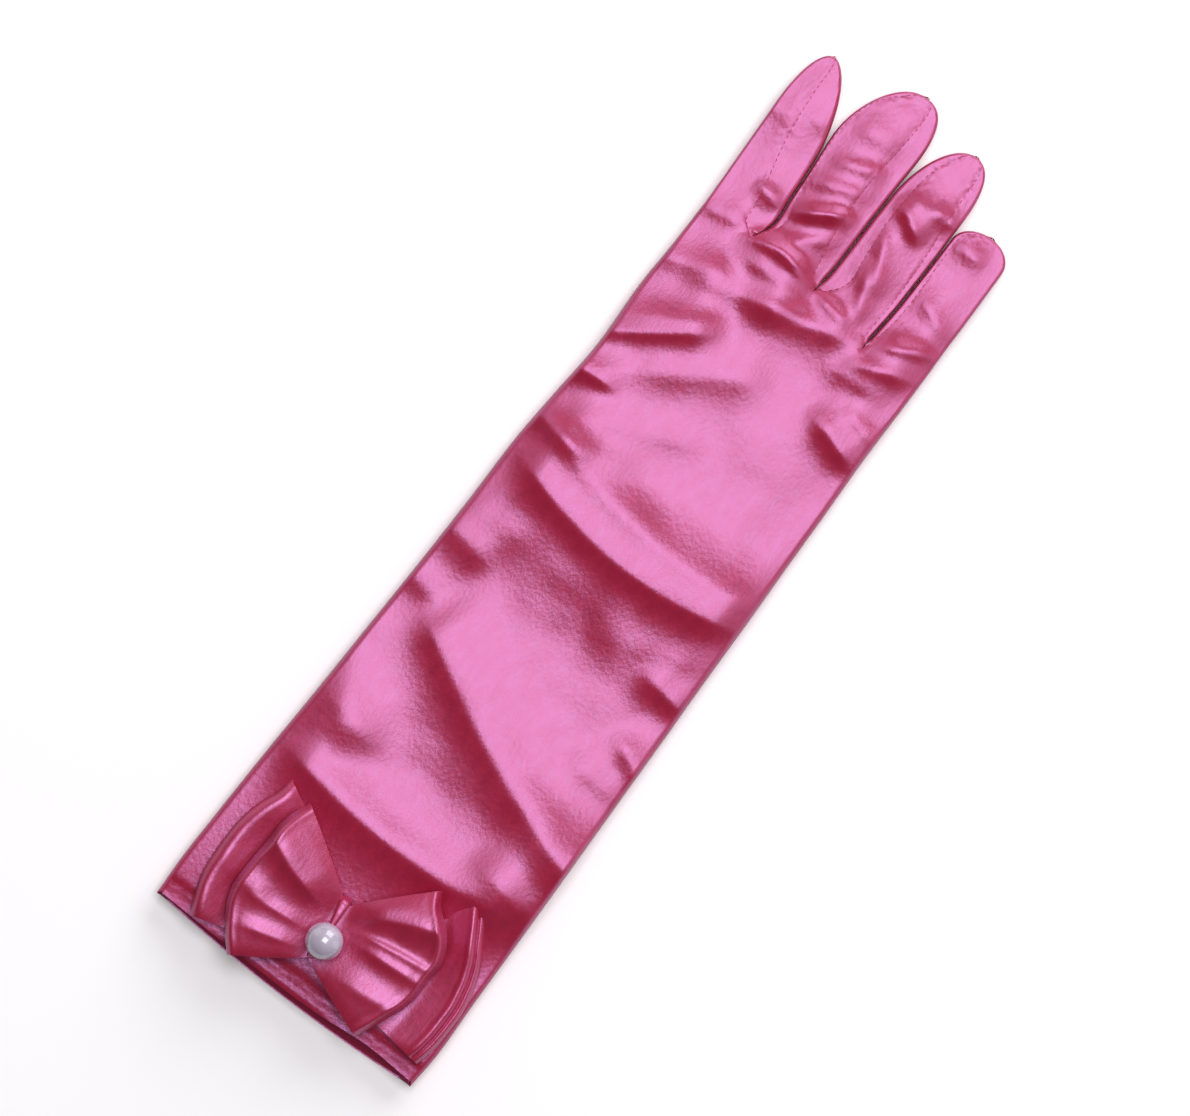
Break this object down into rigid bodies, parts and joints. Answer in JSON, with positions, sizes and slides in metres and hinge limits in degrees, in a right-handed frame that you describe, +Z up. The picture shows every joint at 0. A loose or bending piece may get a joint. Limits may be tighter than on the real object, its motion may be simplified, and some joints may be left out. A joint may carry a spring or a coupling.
{
  "type": "satin glove",
  "caption": "Long satin dress glove lying flat on its palm, with a two-layer bow and an imitation pearl at the cuff and the thumb tucked under.",
  "frame": {"origin": "middle of the glove's box, on the surface it lies on", "axes": "+Y from the cuff to the fingertips, +X towards the little finger, +Z up out of the back of the hand"},
  "size_m": [0.097, 0.3312, 0.0312],
  "materials": {
    "satin_shell": "glossy satin, crimson pink with a pale pink sheen",
    "satin_hem": "glossy satin",
    "satin_bow": "glossy satin",
    "pearl": "pearlescent"
  },
  "bodies": {
    "root": {"hand_and_arm": "satin_shell", "fourchette_index_middle": "satin_shell", "fourchette_middle_ring": "satin_shell", "fourchette_ring_little": "satin_shell", "thumb": "satin_shell", "cuff_hem": "satin_hem", "bow_back_layer": "satin_bow", "bow_front_layer": "satin_bow", "bow_centre_wrap": "satin_bow", "pearl": "pearl"}
  },
  "joints": []
}
